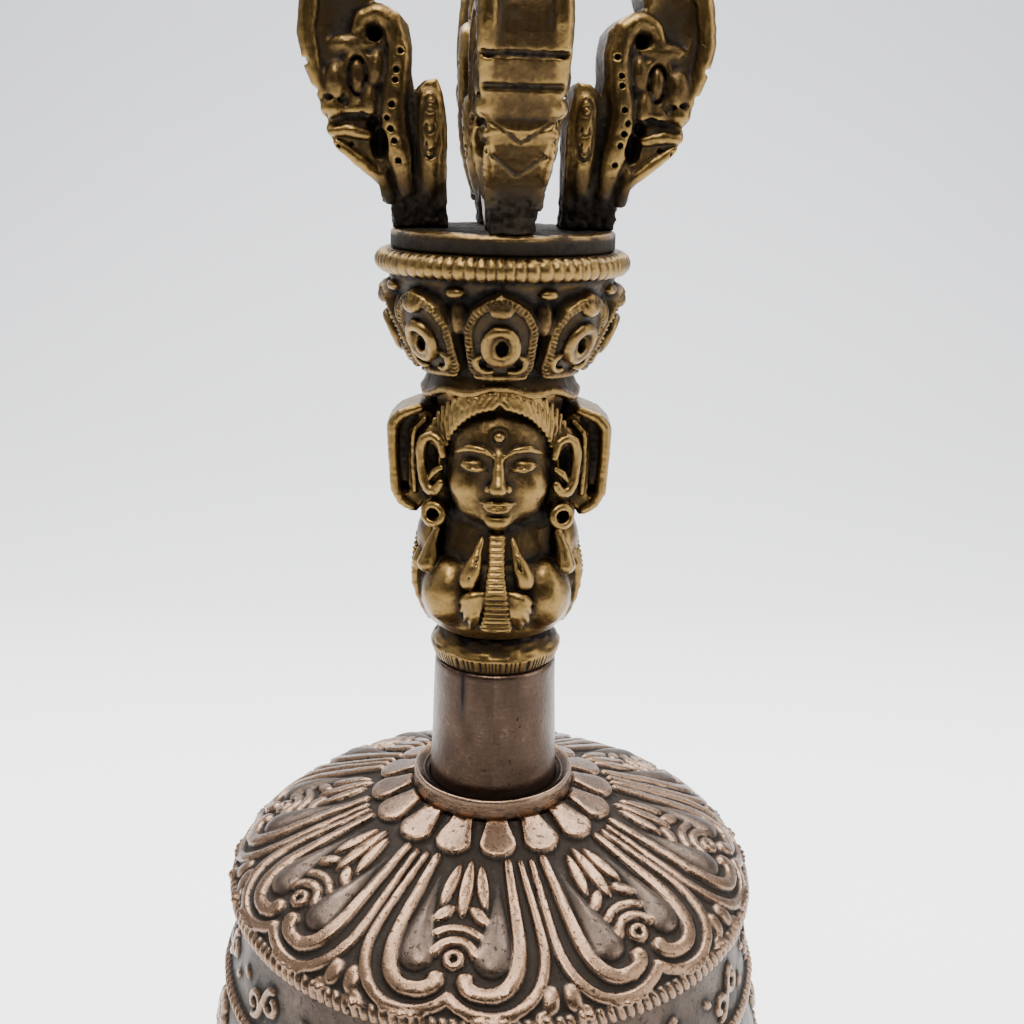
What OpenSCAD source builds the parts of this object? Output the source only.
// Tibetan hand bell: a cast bell on a handle with a lotus, a mask and a five-pronged vajra.
// Millimetres. The mouth's rim lies on z = 0, the handle's axis is +Z, and the mask faces -Y.

/* [Bell] */
// Outer diameter of the mouth
mouth_d = 100; // [85:1:125]
// Outer diameter of the shoulder, at the rope ring
shoulder_d = 66.4; // [55:0.2:80]
// Height of the shoulder above the mouth
shoulder_h = 72; // [58:1:90]
// Rise of the dome from the shoulder to the crown's flat
dome_h = 11.8; // [9:0.2:15]
// Wall of the bell's side, measured level
wall = 2.8; // [2:0.1:4]
// Width of the flat rim that the bell stands on
rim_w = 3.6; // [2.5:0.1:6]
// Thickness of the crown where the handle is bolted
crown_t = 4.5; // [3:0.1:7]
// Diameter of the rope rings that run round the bell
rope_d = 1.8; // [1.2:0.1:2.4]

/* [Collar and shaft] */
// Wall of the collar round the shaft's foot
collar_wall = 2.1; // [1:0.05:3]
// Height of the collar
collar_h = 2.9; // [2:0.1:5]
// Diameter of the shaft at its foot
shaft_foot_d = 16.2; // [13.5:0.1:20]
// Diameter of the shaft at its top
shaft_top_d = 15.1; // [12.5:0.1:18.5]
// Length of the shaft
shaft_h = 18.3; // [14:0.1:30]
// Wall of the hollow shaft
shaft_wall = 2.2; // [1.5:0.1:3.5]
// Height of the brass cuff above the shaft
cuff_h = 4.3; // [3:0.1:6]

/* [Figure] */
// Largest diameter of the vase below the mask
vase_d = 21; // [18:0.2:25]
// Height of the vase
vase_h = 13.6; // [11:0.2:17]
// Height of the head, from the vase to the lotus
head_h = 17; // [14:0.2:21]
// Width across the crown's two side ribbons
ribbon_span = 26.6; // [24:0.2:32]

/* [Lotus] */
// Diameter of the lotus at its foot
lotus_foot_d = 15.8; // [13:0.2:19]
// Diameter of the lotus under the pearl ring
lotus_top_d = 27; // [24:0.2:31]
// Height of the row of petals
lotus_h = 12.5; // [10:0.1:16]
// Number of petals
petals = 8; // [6:1:10]
// Diameter of the pearl ring's bar
pearl_d = 2.7; // [2:0.1:3.5]
// Diameter of the moon disc above the lotus
moon_d = 25.7; // [23:0.1:29]
// Height of the moon disc
moon_h = 2.3; // [1.5:0.1:4]

/* [Vajra] */
// Distance across two opposite prongs at their widest
prong_span = 44.4; // [38:0.2:52]
// Height of the prongs above the moon disc
prong_h = 42; // [36:0.5:50]
// Largest width of a prong
prong_w = 8.6; // [7:0.1:10]
// Depth of a prong's foot, outwards from the spike
prong_foot = 6.2; // [4.5:0.1:7.5]
// Largest width of the square centre spike
spike_w = 6.2; // [5:0.1:7]
// Width of the spike where the prongs meet it
spike_neck_w = 2.8; // [2.2:0.1:3.4]
// How far the spike stands above the prongs
spike_tip_h = 3.2; // [2:0.1:6]

/* [Fixings] */
// Diameter of the iron rod that ties the handle to the bell
rod_d = 5; // [4:0.1:6]
// Thickness of the washer under the crown
washer_t = 1; // [0.6:0.1:2]
// Height of the hexagonal nut
nut_h = 4; // [3:0.1:6]
// Width across the nut's flats
nut_w = 9; // [8:0.5:11]

/* [Clapper] */
// Radius of the hanging eye, to the middle of its wire
eye_r = 3; // [2.6:0.1:4]
// Diameter of the wire of the two eyes
eye_wire_d = 1.8; // [1.4:0.1:2.2]
// Radius of the link, to the middle of its wire
link_r = 3.4; // [3:0.1:4.5]
// Diameter of the link's wire
link_wire_d = 1.6; // [1.2:0.1:2]
// Height of the striker's middle above the mouth
striker_lift = 15.2; // [11:0.2:24]
// Diameter of the clapper's rod
clapper_rod_d = 3.4; // [2.6:0.1:4.5]
// Diameter of the striker
striker_d = 14; // [11:0.5:17]
// Height of the striker
striker_h = 11.6; // [9:0.2:15]

/* [Hidden] */
$fn = 96;

// Free space on each side between pieces that slide over each other.
slip = 0.05;
// Depth by which a cut runs past the face it opens.
past = 1;

brass = [0.62, 0.48, 0.24];
dark_brass = [0.42, 0.33, 0.18];
copper_bronze = [0.50, 0.38, 0.31];
iron = [0.32, 0.31, 0.30];

// Levels of the joints between the stacked pieces.
crown_z = shoulder_h + dome_h;
shaft_top_z = crown_z + shaft_h;
figure_z = shaft_top_z + cuff_h;
head_z = figure_z + vase_h;
lotus_z = head_z + head_h;
pearl_z = lotus_z + lotus_h;
moon_z = pearl_z + pearl_d;
prong_z = moon_z + moon_h;

// The tie rod, its passage through the castings, and the moon disc's threaded spigot.
rod_r = rod_d / 2;
passage_r = rod_r + 0.2;
spigot_r = rod_r + 2.5;
spigot_h = 6;
thread_h = spigot_h - 1;
rod_top_z = moon_z - spigot_h + thread_h;

// The hanging parts under the crown, from the washer down.
washer_z = crown_z - crown_t - washer_t;
nut_z = washer_z - nut_h;
eye_barrel_h = 5;
eye_barrel_r = rod_r + 1.3;
eye_barrel_z = nut_z - eye_barrel_h;
rod_bottom_z = eye_barrel_z + 1.6;
wire_r = eye_wire_d / 2;
link_wire_r = link_wire_d / 2;
// Depth by which an eye's wire runs into the piece that carries it.
eye_bite = 0.4;
eye_z = eye_barrel_z - eye_r + eye_bite;
// Distance between two linked wires, middle to middle.
hook_gap = wire_r + link_wire_r + slip;
link_pivot_z = eye_z - eye_r;
link_z = link_pivot_z + hook_gap - link_r;
clapper_pivot_z = link_z - link_r;
clapper_eye_z = clapper_pivot_z + hook_gap - eye_r;
striker_z = striker_lift;
clapper_rod_r = clapper_rod_d / 2;
// The clapper's rod is peened over below the striker.
peen_h = 1.4;
peen_r = clapper_rod_r + 1.1;

// Point at share t along a cubic curve with the four control points p.
function bezier(p, t) =
    pow(1 - t, 3) * p[0] + 3 * t * pow(1 - t, 2) * p[1]
    + 3 * t * t * (1 - t) * p[2] + t * t * t * p[3];

// The points of a cubic curve cut into n steps.
function curve(p, n) = [for (i = [0:n]) bezier(p, i / n)];

// The bell's outline: dome, side and the hollow's side and dome, each as (radius, height).
shoulder_r = shoulder_d / 2;
mouth_r = mouth_d / 2;
collar_r = shaft_foot_d / 2 + slip + collar_wall;
crown_r = collar_r + 0.2;
lip_h = 2.5;
lip_round = 1.2;
neck_step = 0.8;
inner_mouth_r = mouth_r - lip_round - rim_w;
shoulder_drop = 1.6;
boss_r = crown_r - 1;

dome_curve = [[crown_r, crown_z],
              [crown_r + 0.6 * (shoulder_r - crown_r), shoulder_h + 0.58 * dome_h],
              [shoulder_r, shoulder_h + 0.36 * dome_h],
              [shoulder_r, shoulder_h]];
side_curve = [[mouth_r, lip_h],
              [mouth_r - 0.43 * (mouth_r - shoulder_r), 0.2 * shoulder_h],
              [shoulder_r + 5.3, 0.53 * shoulder_h],
              [shoulder_r - neck_step, shoulder_h - shoulder_drop]];
hollow_side = [[inner_mouth_r, 0],
               [side_curve[1][0] - wall, 0.16 * shoulder_h],
               [side_curve[2][0] - wall, 0.53 * shoulder_h],
               [side_curve[3][0] - wall, shoulder_h - shoulder_drop]];
hollow_dome = [[side_curve[3][0] - wall, shoulder_h - shoulder_drop],
               [side_curve[3][0] - wall, shoulder_h + 0.2 * dome_h],
               [boss_r + 0.6 * (shoulder_r - boss_r), crown_z - crown_t - 0.26 * dome_h],
               [boss_r, crown_z - crown_t]];
// Where the rope rings sit on the side, as shares of its curve from the mouth up.
rope_shares = [0.1, 0.27, 0.5, 0.62];

module ring(radius, wire_radius) {
    rotate_extrude() translate([radius, 0]) circle(r = wire_radius, $fn = 32);
}

// The cast bell: one wall of bronze with rope rings round it and a bored crown.
module bell_shell() {
    color(copper_bronze)
    union() {
        rotate_extrude($fn = 180)
        polygon(concat(
            [[passage_r, crown_z]],
            curve(dome_curve, 14),
            [[shoulder_r - neck_step, shoulder_h - 0.6]],
            [for (i = [24:-1:0]) bezier(side_curve, i / 24)],
            [[mouth_r - 0.3 * lip_round, 0.3 * lip_round], [mouth_r - lip_round, 0]],
            curve(hollow_side, 18),
            [for (i = [1:10]) bezier(hollow_dome, i / 10)],
            [[passage_r, crown_z - crown_t]]));
        translate([0, 0, shoulder_h]) ring(shoulder_r - 0.2 * rope_d, rope_d / 2);
        for (t = rope_shares) {
            place = bezier(side_curve, t);
            translate([0, 0, place[1]]) ring(place[0], rope_d / 2);
        }
    }
}

// The turned collar that the shaft's foot stands in.
module crown_collar() {
    r = collar_r;
    bore_r = r - collar_wall;
    lip = collar_wall / 2;
    color(copper_bronze)
    translate([0, 0, crown_z])
    rotate_extrude($fn = 128)
    polygon([[bore_r, 0], [r, 0], [r, collar_h - 0.3], [r - 0.2, collar_h],
             [r - 0.4, collar_h], [bore_r + lip, 0.75 * collar_h], [bore_r, 0.6 * collar_h]]);
}

// The hollow tapered shaft between the collar and the cuff.
module shaft_sleeve() {
    color(copper_bronze)
    translate([0, 0, crown_z])
    difference() {
        cylinder(h = shaft_h, d1 = shaft_foot_d, d2 = shaft_top_d, $fn = 128);
        translate([0, 0, -past])
            cylinder(h = shaft_h + 2 * past, r = shaft_top_d / 2 - shaft_wall);
    }
}

// The brass cuff: a ridge with a sloping top, seated on the shaft.
module handle_cuff() {
    seat_r = shaft_top_d / 2 - 0.3;
    color(brass)
    translate([0, 0, shaft_top_z])
    rotate_extrude($fn = 96)
    polygon([[passage_r, 0], [seat_r, 0], [seat_r + 0.3, 0.2 * cuff_h],
             [seat_r + 0.9, 0.34 * cuff_h], [seat_r + 0.9, 0.55 * cuff_h],
             [seat_r + 0.2, 0.8 * cuff_h], [0.92 * seat_r, cuff_h], [passage_r, cuff_h]]);
}

// A curled ribbon of the crown: a flat plate that stands out beside the ear.
module side_ribbon() {
    half = ribbon_span / 2;
    depth = 6;
    rotate([90, 0, 0])
    linear_extrude(height = depth, center = true)
    polygon([[half - 5.5, 0.1 * head_h], [half - 2.6, 0.02 * head_h], [half - 0.9, 0.12 * head_h],
             [half - 0.2, 0.36 * head_h], [half, 0.74 * head_h], [half - 1, 0.83 * head_h],
             [half - 5.5, 0.9 * head_h]]);
}

// The ear and its ring, on one side of the mask.
module ear_with_ring() {
    ear_x = 0.29 * ribbon_span;
    translate([ear_x, -5.6, 0.5 * head_h]) rotate([90, 0, 0])
        linear_extrude(height = 1.6)
        polygon([[-1.2, -2.4], [0.4, -2.8], [1.4, -1], [1.5, 2.2], [0.2, 3.2], [-1.4, 2.6]]);
    translate([ear_x + 0.3, -5.8, 0.16 * head_h]) rotate([90, 0, 0]) ring(1.35, 0.6);
}

// The figure: a swagged vase that carries the masked head, cast in one piece with a passage.
module figure_casting() {
    vase_r = vase_d / 2;
    foot_r = 6.6;
    waist_r = 0.86 * vase_r;
    neck_r = lotus_foot_d / 2;
    skull_r = 0.31 * ribbon_span;
    color(brass)
    difference() {
        union() {
            translate([0, 0, figure_z]) rotate_extrude($fn = 96)
            polygon(concat(
                [[0, 0]],
                curve([[foot_r, 0], [vase_r + 2, 0.1 * vase_h],
                       [vase_r + 0.6, 0.75 * vase_h], [waist_r, vase_h]], 12),
                [for (i = [1:12]) bezier([[waist_r, vase_h], [skull_r + 1, vase_h + 0.2 * head_h],
                     [skull_r + 1.4, vase_h + 0.8 * head_h], [neck_r, vase_h + head_h]], i / 12)],
                [[0, vase_h + head_h]]));
            translate([0, 0, head_z]) {
                // The mask, with its nose and the jewel on its forehead.
                translate([0, -3.4, 0.5 * head_h]) scale([0.86, 1, 1.16])
                    sphere(r = 0.42 * head_h, $fn = 40);
                translate([0, -9.6, 0.42 * head_h]) cylinder(h = 0.2 * head_h, r1 = 1.5, r2 = 0.7);
                translate([0, -8.6, 0.76 * head_h]) rotate([90, 0, 0]) cylinder(h = 1.6, r = 0.9);
                for (side = [0, 1]) mirror([side, 0, 0]) {
                    side_ribbon();
                    ear_with_ring();
                }
            }
            // The pendant that hangs down the front of the vase.
            translate([0, 0.4 - vase_r, figure_z + 0.06 * vase_h])
                cylinder(h = 0.86 * vase_h, r1 = 1.5, r2 = 0.9);
        }
        translate([0, 0, figure_z - past])
            cylinder(h = vase_h + head_h + 2 * past, r = passage_r);
    }
}

// One lotus petal with a ringed boss at its middle, leaning out with the flower.
module lotus_petal() {
    lean = atan((lotus_top_d - lotus_foot_d) / 2 / lotus_h);
    length = 0.94 * lotus_h / cos(lean);
    petal_w = 0.92 * PI * (lotus_top_d + lotus_foot_d) / 2 / petals;
    thickness = 2;
    translate([0, 0.9 - lotus_foot_d / 2, 0.7]) rotate([90 + lean, 0, 0]) {
        linear_extrude(height = thickness)
        polygon([[-0.28 * petal_w, 0], [0.28 * petal_w, 0], [0.4 * petal_w, 0.14 * length],
                 [0.5 * petal_w, 0.66 * length], [0.2 * petal_w, length],
                 [-0.2 * petal_w, length], [-0.5 * petal_w, 0.66 * length],
                 [-0.4 * petal_w, 0.14 * length]]);
        translate([0, 0.48 * length, thickness]) ring(1.5, 0.55);
    }
}

// The lotus: a flared core with petals, under a pearl ring, bored for the rod and the spigot.
module lotus_casting() {
    foot_r = lotus_foot_d / 2;
    top_r = lotus_top_d / 2;
    color(brass)
    translate([0, 0, lotus_z])
    difference() {
        union() {
            rotate_extrude($fn = 96)
            union() {
                polygon(concat([[0, 0]],
                    curve([[foot_r, 0], [foot_r, 0.35 * lotus_h],
                           [top_r - 1.6, 0.65 * lotus_h], [top_r - 0.4, lotus_h]], 10),
                    [[top_r - 0.4, lotus_h + pearl_d], [0, lotus_h + pearl_d]]));
                translate([top_r - 0.2, lotus_h + pearl_d / 2]) circle(d = pearl_d, $fn = 32);
            }
            for (i = [0:petals - 1]) rotate([0, 0, i * 360 / petals]) lotus_petal();
        }
        translate([0, 0, -past]) cylinder(h = lotus_h + pearl_d + 2 * past, r = passage_r);
        translate([0, 0, lotus_h + pearl_d - spigot_h - slip])
            cylinder(h = spigot_h + past, r = spigot_r + slip);
    }
}

// The moon disc: the plate that carries the vajra, with a threaded spigot in the lotus.
module moon_disc() {
    color(dark_brass)
    translate([0, 0, moon_z])
    difference() {
        union() {
            rotate_extrude($fn = 128)
            polygon([[0, 0], [moon_d / 2 - 0.15, 0], [moon_d / 2, 0.2], [moon_d / 2, moon_h - 0.35],
                     [moon_d / 2 - 0.35, moon_h], [0, moon_h]]);
            translate([0, 0, -spigot_h]) cylinder(h = spigot_h + 0.5, r = spigot_r);
        }
        translate([0, 0, -spigot_h - past]) cylinder(h = thread_h + past, r = rod_r + slip);
    }
}

// The spike's side view from its middle out, as (half width, height).
function spike_half() = [
    [0.32 * spike_w, 0], [0.32 * spike_w, 0.03 * prong_h], [0.44 * spike_w, 0.06 * prong_h],
    [0.5 * spike_w, 0.3 * prong_h], [0.44 * spike_w, 0.45 * prong_h],
    [0.36 * spike_w, 0.6 * prong_h], [spike_neck_w / 2, 0.82 * prong_h],
    [spike_neck_w / 2, prong_h], [0, prong_h + spike_tip_h]];

// The square spike at the vajra's centre: the same outline seen from the front and the side.
module centre_spike() {
    half = spike_half();
    outline = concat([for (p = half) p], [for (i = [len(half) - 2:-1:0]) [-half[i][0], half[i][1]]]);
    color(brass)
    translate([0, 0, prong_z])
    intersection() {
        rotate([90, 0, 0]) linear_extrude(height = spike_w + 2, center = true) polygon(outline);
        rotate([90, 0, 90]) linear_extrude(height = spike_w + 2, center = true) polygon(outline);
    }
}

// A prong's side view, as (radius, height). Up the outside it shows the jaw of the sea
// monster that bites the blade, then the blade; down the inside, the blade, the monster's
// curled trunk and the block of its neck.
function prong_outline() =
    let (r = prong_span / 2, h = prong_h, tip = spike_neck_w / 2, foot_r = moon_d / 2 - 0.4)
    concat(
        [[foot_r, 0], [foot_r + 0.4, 0.08 * h], [0.88 * r, 0.22 * h], [0.86 * r, 0.25 * h]],
        curve([[0.9 * r, 0.27 * h], [1.04 * r, 0.44 * h], [1.06 * r, 0.56 * h],
               [0.66 * r, 0.8 * h]], 10),
        curve([[0.6 * r, 0.83 * h], [0.4 * r, 0.92 * h], [0.2 * r, 0.98 * h], [tip, h]], 5),
        [[tip, 0.9 * h]],
        curve([[0.2 * r, 0.86 * h], [0.42 * r, 0.78 * h], [0.62 * r, 0.66 * h],
               [0.6 * r, 0.55 * h]], 7),
        [[0.5 * r, 0.515 * h], [0.44 * r, 0.46 * h], [0.44 * r, 0.34 * h],
         [0.33 * r, 0.31 * h], [foot_r - prong_foot + 0.3, 0.27 * h],
         [foot_r - prong_foot + 0.3, 0.08 * h], [foot_r - prong_foot, 0]]);

// A prong's front view, as (half width, height).
function prong_half() = [
    [0.35 * prong_w, 0], [0.38 * prong_w, 0.1 * prong_h], [0.46 * prong_w, 0.24 * prong_h],
    [0.5 * prong_w, 0.4 * prong_h], [0.5 * prong_w, 0.52 * prong_h],
    [0.4 * prong_w, 0.7 * prong_h], [0.26 * prong_w, 0.82 * prong_h],
    [0.39 * spike_neck_w, 0.89 * prong_h], [0.39 * spike_neck_w, prong_h]];

// One of the four outer prongs, brazed to the moon disc at its foot and the spike at its tip.
module prong(quarter) {
    half = prong_half();
    front = concat([for (p = half) p], [for (i = [len(half) - 1:-1:0]) [-half[i][0], half[i][1]]]);
    color(brass)
    translate([0, 0, prong_z])
    rotate([0, 0, 90 * quarter - 90])
    intersection() {
        rotate([90, 0, 0]) linear_extrude(height = prong_w + 2, center = true)
            polygon(prong_outline());
        rotate([90, 0, 90]) linear_extrude(height = prong_span / 2 + 2) polygon(front);
    }
}

// The threaded iron rod that pulls the stacked handle down on the crown.
module tie_rod() {
    color(iron)
    translate([0, 0, rod_bottom_z]) cylinder(h = rod_top_z - rod_bottom_z, r = rod_r);
}

module rod_washer() {
    color(iron)
    translate([0, 0, washer_z])
    difference() {
        cylinder(h = washer_t, r = boss_r - 2);
        translate([0, 0, -past]) cylinder(h = washer_t + 2 * past, r = rod_r + 2 * slip);
    }
}

module rod_nut() {
    color(iron)
    translate([0, 0, nut_z])
    difference() {
        cylinder(h = nut_h, d = nut_w / cos(30), $fn = 6);
        translate([0, 0, -past]) cylinder(h = nut_h + 2 * past, r = rod_r + slip);
    }
}

// The eye screwed on the rod's end, which locks the nut and carries the clapper.
module hanger_eye() {
    color(iron) {
        translate([0, 0, eye_barrel_z])
        difference() {
            cylinder(h = eye_barrel_h, r = eye_barrel_r);
            translate([0, 0, rod_bottom_z - eye_barrel_z])
                cylinder(h = eye_barrel_h, r = rod_r + slip);
        }
        translate([0, 0, eye_z]) rotate([90, 0, 0]) ring(eye_r, wire_r);
    }
}

// The closed link between the two eyes.
module hanger_link() {
    color(iron)
    translate([0, 0, link_z]) rotate([0, 90, 0]) ring(link_r, link_wire_r);
}

// The clapper's rod: an eye at its top, and a peened head that holds the striker.
module clapper_rod() {
    rod_top = clapper_eye_z - eye_r + eye_bite;
    peen_z = striker_z - striker_h / 2 - peen_h;
    color(iron) {
        translate([0, 0, clapper_eye_z]) rotate([90, 0, 0]) ring(eye_r, wire_r);
        translate([0, 0, peen_z]) cylinder(h = rod_top - peen_z, r = clapper_rod_r);
        translate([0, 0, peen_z]) cylinder(h = peen_h, r1 = 0.7 * peen_r, r2 = peen_r);
    }
}

// The striker: a ball with its poles turned flat, bored for the rod.
module clapper_striker() {
    color(dark_brass)
    translate([0, 0, striker_z])
    difference() {
        intersection() {
            sphere(d = striker_d, $fn = 64);
            translate([0, 0, -striker_h / 2]) cylinder(h = striker_h, d = striker_d + 2);
        }
        translate([0, 0, -striker_h]) cylinder(h = 2 * striker_h, r = clapper_rod_r + slip);
    }
}

bell_shell();
crown_collar();
shaft_sleeve();
handle_cuff();
figure_casting();
lotus_casting();
moon_disc();
centre_spike();
prong(0);  // prong_front
prong(1);  // prong_right
prong(2);  // prong_back
prong(3);  // prong_left
tie_rod();
rod_washer();
rod_nut();
hanger_eye();
hanger_link();
clapper_rod();
clapper_striker();
